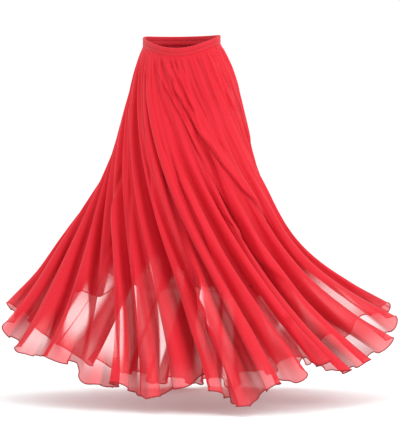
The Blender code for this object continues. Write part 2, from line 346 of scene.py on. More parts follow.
@dataclass
class SkirtForm:
    """The draped shape: a band ring, fold crests to the hem and a valley between each two."""

    band_half_width: float = 0.118
    band_half_depth: float = 0.088
    band_height: float = 0.025
    band_faces_deg: float = -130.0
    front_dip: float = 0.042
    dip_power: float = 3.5
    dip_at_deg: float = 25.0
    tucked_in: float = 0.0030
    outer_from_band: float = 0.0009
    lining_behind: float = 0.0018
    lining_drops: float = 0.0090
    lining_fold_share: float = 0.40
    lining_round_share: float = 0.3
    lining_notch_share: float = 0.3
    first_crest_deg: float = -45.0
    gather_depth: float = 0.0012
    gather_at_seam: float = 0.0005
    gather_peak: float = 0.07
    gathers_per_fold: int = 2
    roundness: float = 0.075
    crest_widening: float = 0.085
    fold_growth: float = 0.95
    notch_growth: float = 3.0
    deepest_valley: float = 0.06
    wander_long: float = 0.24
    wander_long_waves: int = 4
    wander_long_phase: float = 4.2
    wander_short: float = 0.10
    wander_short_waves: int = 9
    wander_short_phase: float = 2.4
    leave_handle: float = 0.42
    land_handle: float = 0.30
    hip_at: float = 0.115
    sag_from: float = 0.33
    sag_to: float = 0.97
    folds: tuple[Fold, ...] = FOLDS
    hangs: tuple[Hang, ...] = HANGS

    def spline(self, places: list[float], values: list[float], at: Array) -> Array:
        """A closed smooth curve through values round the hem.

        Args:
            places: where the values stand, in folds.
            values: the values.
            at: places to read the curve at, in folds.

        Returns:
            The curve's value at each place.
        """
        count = len(self.folds)
        spots = np.asarray(places, float)
        levels = np.asarray(values, float)
        padded = np.concatenate([spots[-2:] - count, spots, spots[:2] + count])
        levels = np.concatenate([levels[-2:], levels, levels[:2]])
        at = np.asarray(at, float) % count
        i = np.clip(np.searchsorted(padded, at, side="right") - 1, 1, len(padded) - 3)
        gap = padded[i + 1] - padded[i]
        before = (levels[i + 1] - levels[i - 1]) / (padded[i + 1] - padded[i - 1]) * gap
        after = (levels[i + 2] - levels[i]) / (padded[i + 2] - padded[i]) * gap
        s = (at - padded[i]) / gap
        return (
            levels[i] * (2 * s**3 - 3 * s**2 + 1)
            + before * (s**3 - 2 * s**2 + s)
            + levels[i + 1] * (3 * s**2 - 2 * s**3)
            + after * (s**3 - s**2)
        )

    def fold_value(self, column: str, at: Array) -> Array:
        """A column of the fold table, read at any place round the hem.

        Args:
            column: the field's name.
            at: places in folds.

        Returns:
            The value at each place.
        """
        values = [getattr(fold, column) for fold in self.folds]
        return self.spline(list(range(len(self.folds))), values, at)

    def painted_shade(self, at: Array, t: Array) -> Array:
        """How much painted shade each place gets from how far into a fold's valley it lies, from 0 on a
        crest to 1 in the deepest valley.

        Args:
            at: places in folds.
            t: shares of the length.

        Returns:
            The shares.
        """
        at = at + self.wander(at) * (1 - t)
        valley = (1 - np.cos(2 * math.pi * at)) / 2
        start = np.clip(self.fold_value("start", at - 0.5), 0, 0.5)
        grown = np.clip(t - start, 0, 1) / (1 - start)
        depth_share = self.fold_value("depth", at - 0.5) / self.deepest_valley
        return np.clip(valley**1.5 * grown * depth_share, 0, 1)

    def hang_value(self, column: str, at: Array) -> Array:
        """A column of the hang table, read at any place round the hem.

        Args:
            column: the field's name.
            at: places in folds.

        Returns:
            The value at each place.
        """
        values = [getattr(hang, column) for hang in self.hangs]
        return self.spline([hang.fold for hang in self.hangs], values, at)

    def band_point(self, degrees: Array, height: float | Array) -> tuple[Array, Array]:
        """The band's middle surface.

        Args:
            degrees: angles from the front centre.
            height: height above the ring's middle.

        Returns:
            The points, and the outward direction at each.
        """
        angle = np.radians(degrees)
        facing = math.radians(self.band_faces_deg)
        front = np.array([math.cos(facing), math.sin(facing), 0.0])
        side = np.array([-math.sin(facing), math.cos(facing), 0.0])
        cos, sin = np.cos(angle)[:, None], np.sin(angle)[:, None]
        point = self.band_half_depth * cos * front + self.band_half_width * sin * side
        outward = self.band_half_width * cos * front + self.band_half_depth * sin * side
        outward /= np.linalg.norm(outward, axis=1)[:, None]
        from_lowest = angle - math.radians(self.dip_at_deg)
        dip = self.front_dip * ((1 + np.cos(from_lowest)) / 2) ** self.dip_power
        point[:, 2] = height - dip
        return point, outward

    def crest_surface(self, at: Array, t: Array) -> Array:
        """The sheet that the fold crests lie on.

        Args:
            at: places in folds.
            t: 0 at the band to 1 at the hem.

        Returns:
            The points.
        """
        degrees = self.first_crest_deg + at * 360 / len(self.folds)
        top, outward = self.band_point(degrees, -self.band_height / 2 + self.tucked_in)
        top = top + self.outer_from_band * outward
        hem = np.stack([self.fold_value(c, at) for c in "xyz"], axis=1)
        run = (hem - top) * [1, 1, 0]
        run /= np.linalg.norm(run, axis=1)[:, None]
        away = run + outward
        away /= np.linalg.norm(away, axis=1)[:, None]
        length = np.linalg.norm(hem - top, axis=1)[:, None]
        leave = np.radians(self.hang_value("leave", at))[:, None]
        land = np.radians(self.hang_value("land", at))[:, None]
        down = np.array([0.0, 0.0, -1.0])
        second = top + self.leave_handle * length * (np.sin(leave) * away + np.cos(leave) * down)
        third = hem - self.land_handle * length * (np.sin(land) * run + np.cos(land) * down)
        s = np.asarray(t, float)[:, None]
        point = (1 - s) ** 3 * top + 3 * (1 - s) ** 2 * s * second
        point = point + 3 * (1 - s) * s**2 * third + s**3 * hem
        over_hip = (s / self.hip_at) * np.exp(1 - s / self.hip_at)
        share = np.clip((s - self.sag_from) / (self.sag_to - self.sag_from), 0, 1)
        below = np.sin(math.pi * share) ** 2
        point = point + self.hang_value("hip", at)[:, None] * over_hip * outward
        return point - self.hang_value("sag", at)[:, None] * below * run

    def wander(self, at: Array) -> Array:
        """How far the folds' tops stand from even spacing, in folds, at each place."""
        turn = 2 * math.pi * at / len(self.folds)
        long_way = np.sin(self.wander_long_waves * turn + self.wander_long_phase)
        short_way = np.sin(self.wander_short_waves * turn + self.wander_short_phase)
        return self.wander_long * long_way + self.wander_short * short_way

    def crest_width(self, at: Array) -> Array:
        """How much wider each crest grows to the hem, unlike its neighbours."""
        return self.crest_widening * (1 + 0.55 * np.sin(1.9 * at + 0.7) * np.sin(0.73 * at + 1.9))

    def frame_at(self, at: Array, t: Array) -> tuple[Array, Array, Array, Array]:
        """The crest surface with its directions.

        Args:
            at: places in folds.
            t: shares of the length.

        Returns:
            Points, outward normals, the way round the hem, and a fold's width.
        """
        step = 0.02
        point = self.crest_surface(at, t)
        around = self.crest_surface(at + step, t) - self.crest_surface(at - step, t)
        width = np.linalg.norm(around, axis=1)[:, None] / (2 * step)
        around /= np.linalg.norm(around, axis=1)[:, None]
        down = self.crest_surface(at, t + step) - self.crest_surface(at, t - step)
        normal = np.cross(down, around)
        normal /= np.linalg.norm(normal, axis=1)[:, None]
        return point, normal, around, width

    def cloth(self, at: Array, t: Array, layer: Layer) -> Array:
        """Points of the outer cloth or of the lining inside it.

        Args:
            at: places in folds.
            t: shares of the length.
            layer: which cloth.

        Returns:
            The points of the cloth's middle surface.
        """
        lining = layer is Layer.LINING
        point, normal, around, width = self.frame_at(at, t)
        at = at + self.wander(at) * (1 - t)
        phase = 2 * math.pi * at
        valley = (1 - np.cos(phase)) / 2
        start = np.clip(self.fold_value("start", at - 0.5), 0, 0.5)
        grown = (np.clip(t - start, 0, 1) / (1 - start)) ** self.fold_growth
        depth = self.fold_value("depth", at - 0.5) * grown
        share = self.lining_fold_share if lining else 1.0
        inward = depth * (1 - share + share * valley)
        rise_in = (t / self.gather_peak) * np.exp(1 - t / self.gather_peak)
        swell = self.gather_at_seam + self.gather_depth * rise_in
        inward = inward + swell * (1 - np.cos(self.gathers_per_fold * phase)) / 2
        if lining:
            inward = inward + self.lining_behind + self.lining_drops * t
        roundness = self.roundness * (self.lining_round_share if lining else 1.0)
        slip = roundness * grown * np.sin(2 * phase)
        slip = slip + self.fold_value("lean", at - 0.5) * grown * valley
        if not lining:
            slip = slip + self.crest_width(at) * smooth_step(0.4, 1.0, t) * np.sin(phase)
        rise = self.fold_value("notch", at - 0.5) * valley * t**self.notch_growth
        if lining:
            rise = self.lining_notch_share * rise
        moved = point - inward[:, None] * normal + slip[:, None] * width * around
        moved[:, 2] += rise
        return moved


@dataclass
class CreaseField:
    """Gathers, fine pleat lines and hem flutes that stand on the draped form."""

    seed: int = 41
    groups: tuple[CreaseGroup, ...] = CREASE_GROUPS
    flute_height: float = 0.0120
    creases: list[Crease] = field(init=False, default_factory=list)

    def __post_init__(self) -> None:
        """Spreads the unshown creases evenly but unalike, and adds the main ones."""
        rng = np.random.default_rng(self.seed)
        spread = list(MAIN_CREASES + BAND_GATHERS)
        for group in self.groups:
            for k in range(len(FOLDS) * group.per_fold):
                spread.append(Crease(
                    at=(k + rng.uniform(-0.4, 0.4)) / group.per_fold,
                    drift=rng.uniform(-group.drift, group.drift),
                    width=rng.uniform(*group.width),
                    height=rng.uniform(*group.height) * rng.choice([-1, 1]),
                    start=rng.uniform(*group.start),
                    end=rng.uniform(*group.end),
                ))
        self.creases = spread

    def height(self, at: Array, t: Array) -> Array:
        """How far the cloth stands out of the draped form.

        Args:
            at: places in folds.
            t: shares of the length.

        Returns:
            The height in metres, outward positive.
        """
        count = len(FOLDS)
        total = np.zeros_like(at)
        for c in self.creases:
            middle = c.at + c.drift * (t - c.start)
            off = (at - middle + count / 2) % count - count / 2
            near = np.abs(off) < 3 * c.width
            if not near.any():
                continue
            span = max(c.end - c.start, 0.05)
            s = (t[near] - c.start) / span
            fade = np.sin(math.pi * np.clip(s, 0, 1)) ** 0.8
            total[near] += c.height * fade * np.exp(-((off[near] / c.width) ** 2))
        for sweep in SWEEPS:
            total += sweep.height_at(at, t)
        return total

    def shade(self, at: Array, t: Array) -> Array:
        """How much painted shadow each place gets beside the long fold edges, from 0 to 1."""
        return np.max([sweep.shade_at(at, t) for sweep in SWEEPS], axis=0)

    def flutes(self, at: Array, t: Array) -> Array:
        """The small waves that the stretched hem throws.

        Args:
            at: places in folds.
            t: shares of the length.

        Returns:
            The height in metres, outward positive.
        """
        wave = np.sin(2 * math.pi * (2.0 * at + 0.21 * np.sin(1.3 * at)) + 0.9)
        wave = wave + 0.6 * np.sin(2 * math.pi * (3.0 * at + 0.3 * np.sin(0.7 * at + 1.0)))
        uneven = 0.55 + 0.45 * np.sin(2.1 * at + 0.6) * np.sin(0.83 * at + 2.0)
        return self.flute_height * wave * uneven * smooth_step(0.80, 1.0, t)


@dataclass
class Sheerness:
    """How much of the light one layer of the chiffon stops, over its length and folds."""

    near_band: float = 0.975
    bundled: float = 0.955
    at_hem: float = 0.80
    clearest: float = 0.24
    most_solid: float = 0.98

    def cover(self, at: Array, t: Array) -> Array:
        """The share of light that the layer stops.

        Args:
            at: places in folds.
            t: shares of the length.

        Returns:
            Values from 0, clear, to 1, solid.
        """
        count = len(FOLDS)
        value = self.near_band + (self.bundled - self.near_band) * smooth_step(0.20, 0.62, t)
        value = value + (self.at_hem - self.bundled) * smooth_step(0.90, 1.0, t)
        for o in PALE_STRETCHES:
            middle = o.at + o.drift * (t - o.start)
            off = (at - middle + count / 2) % count - count / 2
            grow = smooth_step(o.start, o.start + 0.16, t)
            width = o.width * (0.25 + 0.75 * grow)
            inside = 1 - smooth_step(0.78, 1.12, np.abs(off) / width)
            end = 1 - smooth_step(o.end - 0.10, o.end + 0.02, t)
            value = value + (o.cover - value) * inside * grow * end
        return np.clip(value, self.clearest, self.most_solid)


class Wire:
    """A shader socket that Python's operators work on."""

    def __init__(self, recipe: "Recipe", socket: bpy.types.NodeSocket) -> None:
        """Wraps one output socket of a recipe's node."""
        self.recipe = recipe
        self.socket = socket

    def math(self, operation: str, *values: "Wire | float") -> "Wire":
        """Adds a Math node.

        Args:
            operation: the node's operation.
            values: its inputs, in order.

        Returns:
            The node's result.
        """
        node = self.recipe.node("ShaderNodeMath", {"operation": operation}, dict(enumerate(values)))
        return Wire(self.recipe, node.outputs[0])

    def __add__(self, other: "Wire | float") -> "Wire":
        """The sum."""
        return self.math("ADD", self, other)

    def __radd__(self, other: float) -> "Wire":
        """The sum, number first."""
        return self.math("ADD", other, self)

    def __sub__(self, other: "Wire | float") -> "Wire":
        """The difference."""
        return self.math("SUBTRACT", self, other)

    def __rsub__(self, other: float) -> "Wire":
        """The difference, number first."""
        return self.math("SUBTRACT", other, self)

    def __mul__(self, other: "Wire | float") -> "Wire":
        """The product."""
        return self.math("MULTIPLY", self, other)

    def __rmul__(self, other: float) -> "Wire":
        """The product, number first."""
        return self.math("MULTIPLY", other, self)

    def sine(self) -> "Wire":
        """The sine."""
        return self.math("SINE", self)

    def limited(self, low: float, high: float) -> "Wire":
        """The value kept between two numbers."""
        return self.math("MINIMUM", self.math("MAXIMUM", self, low), high)


class Recipe:
    """A material under construction, with one Principled shader."""

    def __init__(self, name: str) -> None:
        """Starts an empty material of that name."""
        self.material = bpy.data.materials.new(name)
        self.material.use_nodes = True
        self.tree = self.material.node_tree
        self.tree.nodes.clear()
        self.shader = self.node("ShaderNodeBsdfPrincipled")
        out = self.node("ShaderNodeOutputMaterial")
        self.tree.links.new(self.shader.outputs[0], out.inputs["Surface"])

    def node(self, kind: str, settings: dict | None = None, sockets: dict | None = None) -> bpy.types.Node:
        """Adds any node.

        Args:
            kind: the node's type.
            settings: its properties, set before its sockets.
            sockets: values or wires for its inputs, by name or number.

        Returns:
            The node.
        """
        made = self.tree.nodes.new(kind)
        for key, value in (settings or {}).items():
            setattr(made, key, value)
        for key, value in (sockets or {}).items():
            self.feed(made.inputs[key], value)
        return made

    def feed(self, socket: bpy.types.NodeSocket, value: "Wire | float | tuple") -> None:
        """Links a wire to an input, or sets its value."""
        if isinstance(value, Wire):
            self.tree.links.new(value.socket, socket)
        else:
            socket.default_value = value

    def surface(self, **sockets: "Wire | float | tuple") -> None:
        """Sets or links the shader's own inputs, by name with _ for a space."""
        for key, value in sockets.items():
            self.feed(self.shader.inputs[key.replace("_", " ")], value)

    def attribute(self, name: str) -> Wire:
        """A number stored on the piece's points."""
        node = self.node("ShaderNodeAttribute", {"attribute_name": name})
        return Wire(self, node.outputs["Fac"])

    def flat_cut(self, width: float, length: float) -> tuple[Wire, Wire]:
        """The piece's own UV map as metres on its flat cut.

        Args:
            width: the cut's width.
            length: its length.

        Returns:
            The two coordinates in metres.
        """
        uv = self.node("ShaderNodeUVMap", {"uv_map": "flat_cut"})
        parts = self.node("ShaderNodeSeparateXYZ", None, {0: Wire(self, uv.outputs[0])})
        return Wire(self, parts.outputs[0]) * width, Wire(self, parts.outputs[1]) * length

    def noise(self, vector: Wire, scale: float, detail: float) -> Wire:
        """Soft noise.

        Args:
            vector: where it is read.
            scale: its fineness.
            detail: its layers.

        Returns:
            Values round 0.5.
        """
        node = self.node("ShaderNodeTexNoise", {"noise_dimensions": "3D"},
                         {"Vector": vector, "Scale": scale, "Detail": detail})
        return Wire(self, node.outputs["Fac"])

    def vector(self, x: "Wire | float", y: "Wire | float", z: "Wire | float" = 0.0) -> Wire:
        """Three numbers as one vector."""
        node = self.node("ShaderNodeCombineXYZ", None, {0: x, 1: y, 2: z})
        return Wire(self, node.outputs[0])

    def place(self) -> Wire:
        """The piece's Object coordinates."""
        return Wire(self, self.node("ShaderNodeTexCoord").outputs["Object"])

    def blend(self, first: tuple | Wire, second: tuple | Wire, share: Wire) -> Wire:
        """Two colours mixed.

        Args:
            first: the colour at 0.
            second: the colour at 1.
            share: the mix.

        Returns:
            The mixed colour.
        """
        node = self.node("ShaderNodeMix", {"data_type": "RGBA"}, {0: share, 6: first, 7: second})
        return Wire(self, node.outputs[2])

    def bump(self, height: Wire, distance: float, strength: float) -> Wire:
        """Relief from a height.

        Args:
            height: the height, in units of distance.
            distance: metres for a height of 1.
            strength: its share.

        Returns:
            A normal for the shader.
        """
        node = self.node("ShaderNodeBump", None,
                         {"Height": height, "Distance": distance, "Strength": strength})
        return Wire(self, node.outputs[0])


@dataclass(frozen=True)
class SheerFinish:
    """Crepe-twisted chiffon: matt, finely woven, part clear."""

    name: str = "sheer_chiffon"
    colour: Colour = (0.63, 0.011, 0.025, 1.0)
    # darker colour for painted shade in fold valleys and crease troughs, and for random streaks
    shade_and_tone_colour: Colour = (0.425, 0.0055, 0.014, 1.0)
    roughness: float = 0.66
    sheen: float = 0.12
    threads_per_m: float = 2400.0
    crepe_per_m: float = 420.0
    streak_share: float = 0.10
    # emission colours of a painted glow that stands in for light passing through the cloth
    backlight: tuple[float, float, float, float] = (0.50, 0.006, 0.016, 1.0)
    inner_light: tuple[float, float, float, float] = (0.07, 0.0, 0.001, 1.0)

    def material(self, width: float, length: float) -> bpy.types.Material:
        """Makes the material.

        Args:
            width: width of the flat cut in metres.
            length: length of the flat cut in metres.

        Returns:
            The material.
        """
        r = Recipe(self.name)
        x, y = r.flat_cut(width, length)
        folds_round = r.attribute("folds_round")
        down = r.attribute("down")
        cover = r.attribute("cover")
        painted_shade = r.attribute("painted_shade")
        warp = (x * (2 * math.pi * self.threads_per_m)).sine()
        weft = (y * (2 * math.pi * self.threads_per_m)).sine()
        weave = warp * weft
        crepe = r.noise(r.vector(x, y), self.crepe_per_m, 2.0)
        streak = r.noise(r.vector(folds_round * 5.0, down * 0.9), 1.0, 3.0)
        wide = r.noise(r.vector(folds_round * 1.1, down * 1.6, 3.0), 1.0, 1.0)
        uneven = (streak - 0.5) * (2 * self.streak_share) + (wide - 0.5) * self.streak_share
        alpha = (cover + uneven + weave * 0.01 + (crepe - 0.5) * 0.03).limited(0.10, 0.985)
        # Painted shade: the colour darkens in fold valleys, in crease troughs and beside the long fold
        # edges; noise streaks vary the tone at random.
        shade = (0.12 + painted_shade * 0.75 + (streak - 0.5) * 1.2 + (crepe - 0.5) * 0.12).limited(0.0, 1.0)
        relief = weave * 0.25 + crepe
        # Painted glow: a red emission, stronger where the cloth is clear, stands in for light passing
        # through the chiffon.
        clear = (1.25 - cover * 1.35).limited(0.0, 1.0)
        r.surface(
            Base_Color=r.blend(self.colour, self.shade_and_tone_colour, shade),
            Emission_Color=r.blend(self.inner_light, self.backlight, clear),
            Emission_Strength=1.0,
            Roughness=(self.roughness + (crepe - 0.5) * 0.10).limited(0.3, 0.9),
            Alpha=alpha,
            Sheen_Weight=self.sheen,
            Sheen_Roughness=0.5,
            Sheen_Tint=(1.0, 0.55, 0.55, 1.0),
            Specular_IOR_Level=0.22,
            Normal=r.bump(relief, 0.00020, 0.20),
        )
        return r.material


@dataclass(frozen=True)
class LiningFinish:
    """Light plain-woven lining: smoother and nearly solid."""

    name: str = "lining_cloth"
    colour: Colour = (0.62, 0.010, 0.024, 1.0)
    # darker colour for painted shade in fold valleys and crease troughs, and for random streaks
    shade_and_tone_colour: Colour = (0.48, 0.007, 0.016, 1.0)
    roughness: float = 0.58
    threads_per_m: float = 3000.0

    def material(self, width: float, length: float) -> bpy.types.Material:
        """Makes the material.

        Args:
            width: width of the flat cut in metres.
            length: length of the flat cut in metres.

        Returns:
            The material.
        """
        r = Recipe(self.name)
        x, y = r.flat_cut(width, length)
        down = r.attribute("down")
        folds_round = r.attribute("folds_round")
        painted_shade = r.attribute("painted_shade")
        cover = r.attribute("cover")
        warp = (x * (2 * math.pi * self.threads_per_m)).sine()
        weft = (y * (2 * math.pi * self.threads_per_m)).sine()
        weave = warp * weft
        cloud = r.noise(r.vector(x, y), 9.0, 3.0)
        streak = r.noise(r.vector(folds_round * 4.0, down * 0.8), 1.0, 2.0)
        # Painted shade: the colour darkens in fold valleys, in crease troughs and beside the long fold
        # edges; noise streaks and clouds vary the tone at random.
        shade = (0.20 + painted_shade * 0.6 + (streak - 0.5) * 1.1 + (cloud - 0.5) * 0.3).limited(0.0, 1.0)
        r.surface(
            Base_Color=r.blend(self.colour, self.shade_and_tone_colour, shade),
            Roughness=(self.roughness + (cloud - 0.5) * 0.1).limited(0.3, 0.9),
            Alpha=(cover * 1.9 - 0.87 + (streak - 0.5) * 0.10 + weave * 0.01).limited(0.15, 0.98),
            Sheen_Weight=0.10,
            Sheen_Roughness=0.45,
            Specular_IOR_Level=0.28,
            Normal=r.bump(weave * 0.4 + cloud, 0.00020, 0.4),
        )
        return r.material


@dataclass(frozen=True)
class BandFinish:
    """Chiffon casing over elastic in two layers, ruched, darkened by painted shade in its stitched channel
    and along its lower edges.
    """

    name: str = "band_casing"
    colour: Colour = (0.64, 0.011, 0.026, 1.0)
    # darker colour for painted shade and for random clouds
    shade_and_tone_colour: Colour = (0.46, 0.007, 0.016, 1.0)
    roughness: float = 0.62
    crepe_per_m: float = 520.0

    def material(self) -> bpy.types.Material:
        """Makes the material.

        Returns:
            The material.
        """
        r = Recipe(self.name)
        place = r.place()
        crepe = r.noise(place, self.crepe_per_m, 2.0)
        cloud = r.noise(place, 38.0, 2.0)
        groove_shade = r.attribute("groove_shade")
        # Painted shade: the colour darkens in the stitched channel and along the lower edges; noise clouds
        # vary the tone at random.
        shade = (0.20 + groove_shade * 0.7 + (cloud - 0.5) * 0.8).limited(0.0, 1.0)
        r.surface(
            Base_Color=r.blend(self.colour, self.shade_and_tone_colour, shade),
            Roughness=(self.roughness + (crepe - 0.5) * 0.12).limited(0.3, 0.9),
            Sheen_Weight=0.12,
            Sheen_Roughness=0.5,
            Specular_IOR_Level=0.25,
            Normal=r.bump(crepe, 0.00030, 0.6),
        )
        return r.material


@dataclass(frozen=True)
class ThreadFinish:
    """Twisted polyester sewing thread."""

    name: str
    colour: Colour
    roughness: float = 0.45
    twists_per_m: float = 900.0

    def material(self) -> bpy.types.Material:
        """Makes the material.

        Returns:
            The material.
        """
        r = Recipe(self.name)
        place = r.place()
        parts = r.node("ShaderNodeSeparateXYZ", None, {0: place})
        across = Wire(r, parts.outputs[0]) + Wire(r, parts.outputs[1]) + Wire(r, parts.outputs[2]) * 1.4
        twist = (across * (2 * math.pi * self.twists_per_m)).sine() * 0.5 + 0.5
        cloud = r.noise(place, 60.0, 2.0)
        dark = tuple(0.72 * c for c in self.colour[:3]) + (1.0,)
        shade = (twist * 0.5 + (cloud - 0.5) * 0.6 + 0.2).limited(0.0, 1.0)
        r.surface(
            Base_Color=r.blend(self.colour, dark, shade),
            Roughness=(self.roughness + twist * 0.1).limited(0.2, 0.9),
            Specular_IOR_Level=0.35,
            Normal=r.bump(twist, 0.00012, 0.6),
        )
        return r.material


def grid_mesh(name: str, rows: Array, closed: bool, attributes: dict[str, Array]) -> bpy.types.Object:
    """A sheet through rows of points, facing outwards.

    Args:
        name: the object's name.
        rows: points as rows by columns by 3.
        closed: whether each row runs round to its start.
        attributes: numbers for the points, rows by columns each.

    Returns:
        The object.
    """
    high, wide = rows.shape[:2]
    index = np.arange(high * wide).reshape(high, wide)
    if closed:
        index = np.concatenate([index, index[:, :1]], axis=1)
    corners = np.stack([index[:-1, :-1], index[1:, :-1], index[1:, 1:], index[:-1, 1:]], axis=-1)
    mesh = bpy.data.meshes.new(name)
    mesh.from_pydata(rows.reshape(-1, 3).tolist(), [], corners.reshape(-1, 4).tolist())
    for key, values in attributes.items():
        layer = mesh.attributes.new(key, "FLOAT", "POINT")
        layer.data.foreach_set("value", values.astype(np.float32).ravel())
    mesh.update()
    mesh.shade_smooth()
    obj = bpy.data.objects.new(name, mesh)
    bpy.context.scene.collection.objects.link(obj)
    return obj


def add_uv(obj: bpy.types.Object, name: str, across: Array, along: Array) -> None:
    """Gives a piece its own UV map.

    Args:
        obj: the piece.
        name: the map's name.
        across: first coordinate of each point.
        along: second coordinate of each point.
    """
    mesh = obj.data
    layer = mesh.uv_layers.new(name=name)
    verts = np.empty(len(mesh.loops), dtype=np.int64)
    mesh.loops.foreach_get("vertex_index", verts)
    both = np.stack([across.ravel()[verts], along.ravel()[verts]], axis=1)
    layer.data.foreach_set("uv", both.astype(np.float32).ravel())


@dataclass(frozen=True)
class EdgeSewing:
    """Geometry Nodes that roll a cloth edge and wrap or stitch it with thread."""

    roll_radius: float = 0.0014
    thread_radius: float = 0.00022
    pitch: float = 0.0036
    stitch_length: float = 0.0024
    wrap_tilt: float = 0.42
    wrapped: bool = True

    def tree(self, name: str, cloth: bpy.types.Material, thread: bpy.types.Material) -> bpy.types.NodeTree:
        """Builds the node group.

        Args:
            name: its name.
            cloth: material of the roll.
            thread: material of the stitches.

        Returns:
            The node group, with inputs Geometry, Roll Radius, Thread Radius, Pitch, Stitch Length.
        """
        group = bpy.data.node_groups.new(name, "GeometryNodeTree")
        face = group.interface
        face.new_socket(name="Geometry", in_out="INPUT", socket_type="NodeSocketGeometry")
        for label, value in (("Roll Radius", self.roll_radius), ("Thread Radius", self.thread_radius),
                             ("Pitch", self.pitch), ("Stitch Length", self.stitch_length)):
            made = face.new_socket(name=label, in_out="INPUT", socket_type="NodeSocketFloat")
            made.default_value = value
        face.new_socket(name="Geometry", in_out="OUTPUT", socket_type="NodeSocketGeometry")

        def add(kind: str, settings: dict | None = None, inputs: dict | None = None) -> bpy.types.Node:
            """Adds a node, sets it, then fills its sockets."""
            node = group.nodes.new(kind)
            for key, value in (settings or {}).items():
                setattr(node, key, value)
            for key, value in (inputs or {}).items():
                if isinstance(value, bpy.types.NodeSocket):
                    group.links.new(value, node.inputs[key])
                else:
                    node.inputs[key].default_value = value
            return node

        given = add("NodeGroupInput")
        result = add("NodeGroupOutput")
        path = add("GeometryNodeMeshToCurve", None, {"Mesh": given.outputs["Geometry"]})
        even = add("GeometryNodeResampleCurve", {"mode": "LENGTH"},
                   {"Curve": path.outputs[0], "Length": given.outputs["Pitch"]})
        tangent = add("GeometryNodeInputTangent")
        turn = add("FunctionNodeAlignRotationToVector", {"axis": "Z"}, {"Vector": tangent.outputs[0]})
        whole = add("GeometryNodeJoinGeometry")
        if self.wrapped:
            roll = add("GeometryNodeCurvePrimitiveCircle", {"mode": "RADIUS"},
                       {"Resolution": 6, "Radius": given.outputs["Roll Radius"]})
            tube = add("GeometryNodeCurveToMesh", None,
                       {"Curve": path.outputs[0], "Profile Curve": roll.outputs[0], "Fill Caps": True})
            rolled = add("GeometryNodeSetMaterial", None, {"Geometry": tube.outputs[0], "Material": cloth})
            group.links.new(rolled.outputs[0], whole.inputs[0])
            loop_radius = add("ShaderNodeMath", {"operation": "ADD"},
                              {0: given.outputs["Roll Radius"], 1: given.outputs["Thread Radius"]})
            loop = add("GeometryNodeCurvePrimitiveCircle", {"mode": "RADIUS"},
                       {"Resolution": 7, "Radius": loop_radius.outputs[0]})
            strand = add("GeometryNodeCurvePrimitiveCircle", {"mode": "RADIUS"},
                         {"Resolution": 3, "Radius": given.outputs["Thread Radius"]})
            ring = add("GeometryNodeCurveToMesh", None,
                       {"Curve": loop.outputs[0], "Profile Curve": strand.outputs[0]})
            stitch = add("GeometryNodeTransform", None,
                         {"Geometry": ring.outputs[0], "Rotation": (self.wrap_tilt, 0.0, 0.0)})
        else:
            rod = add("GeometryNodeMeshCylinder", {"fill_type": "TRIANGLE_FAN"},
                      {"Vertices": 6, "Side Segments": 3, "Radius": given.outputs["Thread Radius"],
                       "Depth": given.outputs["Stitch Length"]})
            stitch = add("GeometryNodeTransform", None, {"Geometry": rod.outputs["Mesh"]})
        spread = add("GeometryNodeInstanceOnPoints", None,
                     {"Points": even.outputs[0], "Instance": stitch.outputs[0], "Rotation": turn.outputs[0]})
        real = add("GeometryNodeRealizeInstances", None, {"Geometry": spread.outputs[0]})
        sewn = add("GeometryNodeSetMaterial", None, {"Geometry": real.outputs[0], "Material": thread})
        group.links.new(sewn.outputs[0], whole.inputs[0])
        group.links.new(whole.outputs[0], result.inputs[0])
        return group

    def along(self, name: str, path: Array, closed: bool, cloth: bpy.types.Material,
              thread: bpy.types.Material) -> bpy.types.Object:
        """Sews along a path.

        Args:
            name: the piece's name.
            path: the points of the path.
            closed: whether it runs round to its start.
            cloth: material of the roll.
            thread: material of the stitches.

        Returns:
            The sewing as one plain mesh object.
        """
        count = len(path)
        edges = [(i, i + 1) for i in range(count - 1)]
        if closed:
            edges.append((count - 1, 0))
        line = bpy.data.meshes.new(name + "_path")
        line.from_pydata(path.tolist(), edges, [])
        carrier = bpy.data.objects.new(name + "_path", line)
        bpy.context.scene.collection.objects.link(carrier)
        nodes = carrier.modifiers.new("sewing", "NODES")
        nodes.node_group = self.tree(name + "_nodes", cloth, thread)
        wanted = {"Roll Radius": self.roll_radius, "Thread Radius": self.thread_radius,
                  "Pitch": self.pitch, "Stitch Length": self.stitch_length}
        for item in nodes.node_group.interface.items_tree:
            if item.in_out == "INPUT" and item.name in wanted:
                nodes[item.identifier] = wanted[item.name]
        graph = bpy.context.evaluated_depsgraph_get()
        plain = bpy.data.meshes.new_from_object(carrier.evaluated_get(graph), depsgraph=graph)
        plain.name = name
        carrier.modifiers.remove(nodes)
        bpy.data.objects.remove(carrier, do_unlink=True)
        plain.shade_smooth()
        piece = bpy.data.objects.new(name, plain)
        bpy.context.scene.collection.objects.link(piece)
        return piece


@dataclass(frozen=True)
class FlatCut:
    """A flared sector as it lies on the cutting table."""

    waist_radius: float
    length: float
    degrees: float

    @property
    def spread(self) -> float:
        """The sector's angle in radians."""
        return math.radians(self.degrees)

    @property
    def hem_radius(self) -> float:
        """Radius of the hem."""
        return self.waist_radius + self.length

    @property
    def size(self) -> tuple[float, float]:
        """Width and length of the rectangle that the sector is cut from."""
        half = self.spread / 2
        return 2 * self.hem_radius * math.sin(half), self.hem_radius - self.waist_radius * math.cos(half)

    @property
    def area(self) -> float:
        """Flat area of the sector."""
        return self.spread / 2 * (self.hem_radius**2 - self.waist_radius**2)

    def place(self, across: Array, down: Array) -> tuple[Array, Array]:
        """Where points of the cloth lie on the rectangle.

        Args:
            across: shares of the way from seam to seam.
            down: shares of the way from waist to hem.

        Returns:
            Shares of the rectangle's width and length.
        """
        angle = self.spread * (across - 0.5)
        radius = self.waist_radius + self.length * down
        near = self.waist_radius * math.cos(self.spread / 2)
        width, length = self.size
        return 0.5 + radius * np.sin(angle) / width, (radius * np.cos(angle) - near) / length


